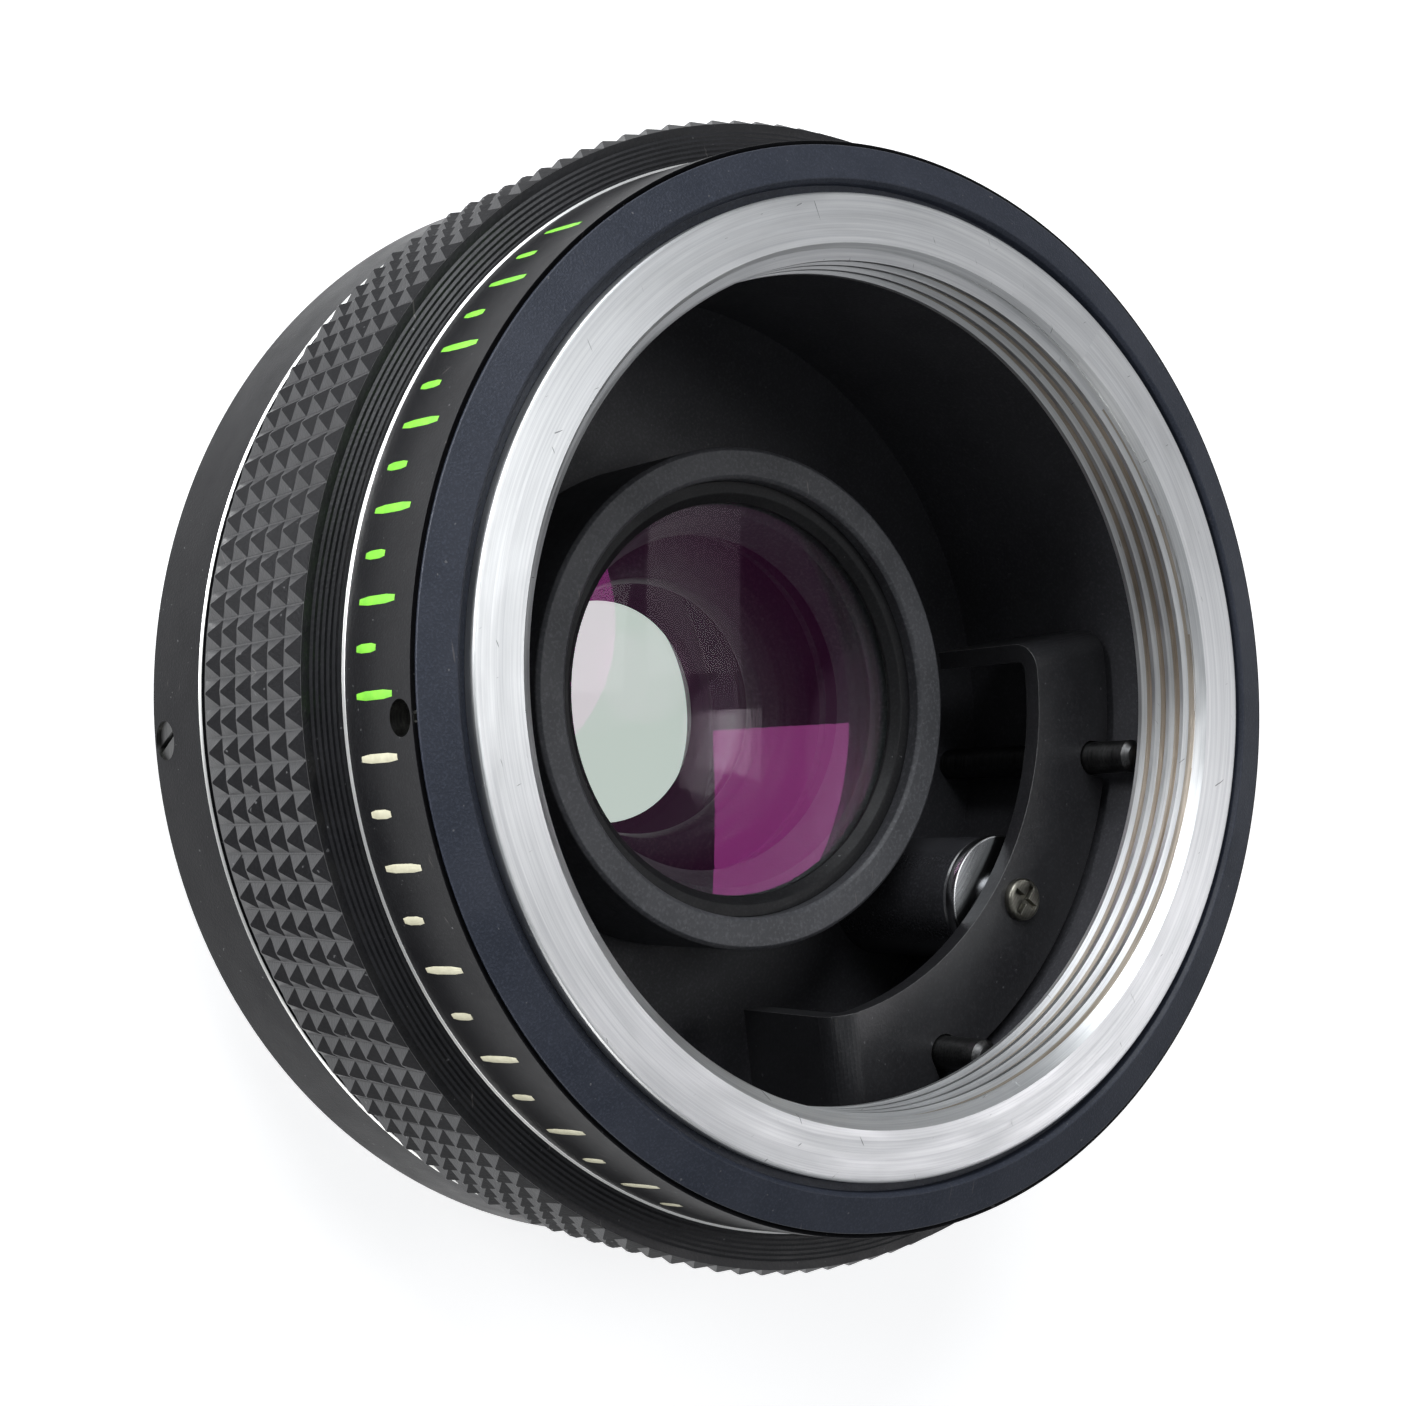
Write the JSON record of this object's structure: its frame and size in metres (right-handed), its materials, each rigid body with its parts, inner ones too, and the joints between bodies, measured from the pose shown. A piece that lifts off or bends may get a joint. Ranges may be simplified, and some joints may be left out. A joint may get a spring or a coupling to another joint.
{
  "type": "tele converter",
  "caption": "Short round screw-mount tele converter with a knurled grip, a bright female thread in front, a lens cell on the axis and a sprung aperture plate.",
  "frame": {"origin": "centre of the circle on which the end of the rear thread rests, on the optical axis", "axes": "+Z along the optical axis, out of the front; +Y towards the aperture pin"},
  "size_m": [0.0578, 0.0578, 0.0283],
  "materials": {
    "bright_aluminium": "turned and brushed, lightly scratched",
    "satin_black": "satin, fine grain",
    "black_anodised": "satin over a pyramid knurl",
    "matt_black": "matt",
    "cell_grey": "matt, fine grain",
    "chrome": "polished",
    "steel": "turned",
    "dark_steel": "blackened",
    "lens_glass": "polished, coated"
  },
  "bodies": {
    "barrel": {"front_thread_ring": "bright_aluminium", "front_trim_ring": "satin_black", "name_ring": "satin_black", "grip_ring": "black_anodised", "rear_ring": "satin_black", "inner_housing": "matt_black", "rear_mount_ring": "chrome", "rear_mount_screws": "steel", "front_grub_screws": "dark_steel", "rear_grub_screws": "dark_steel", "guide_post_a": "steel", "guide_post_b": "steel", "guide_sleeve": "matt_black", "lens_cell": "cell_grey", "front_retaining_ring": "matt_black", "rear_retaining_ring": "matt_black", "cell_lock_ring": "matt_black", "spacer_ring_1": "matt_black", "spacer_ring_2": "matt_black", "lens_1": "lens_glass", "lens_2": "lens_glass", "lens_3": "lens_glass", "lens_4": "lens_glass", "return_spring": "steel"},
    "aperture_coupling": {"aperture_pin": "chrome", "aperture_plate": "satin_black", "plate_screw": "steel", "spring_clip": "steel"}
  },
  "joints": [
    {"name": "aperture_slide", "type": "slide", "parent": "barrel", "child": "aperture_coupling", "axis": [0, 0, 1], "range_m": [0, 0.003], "stiffness_N_per_m": 200, "springref_m": -0.004, "deforming": ["return_spring"]}
  ]
}
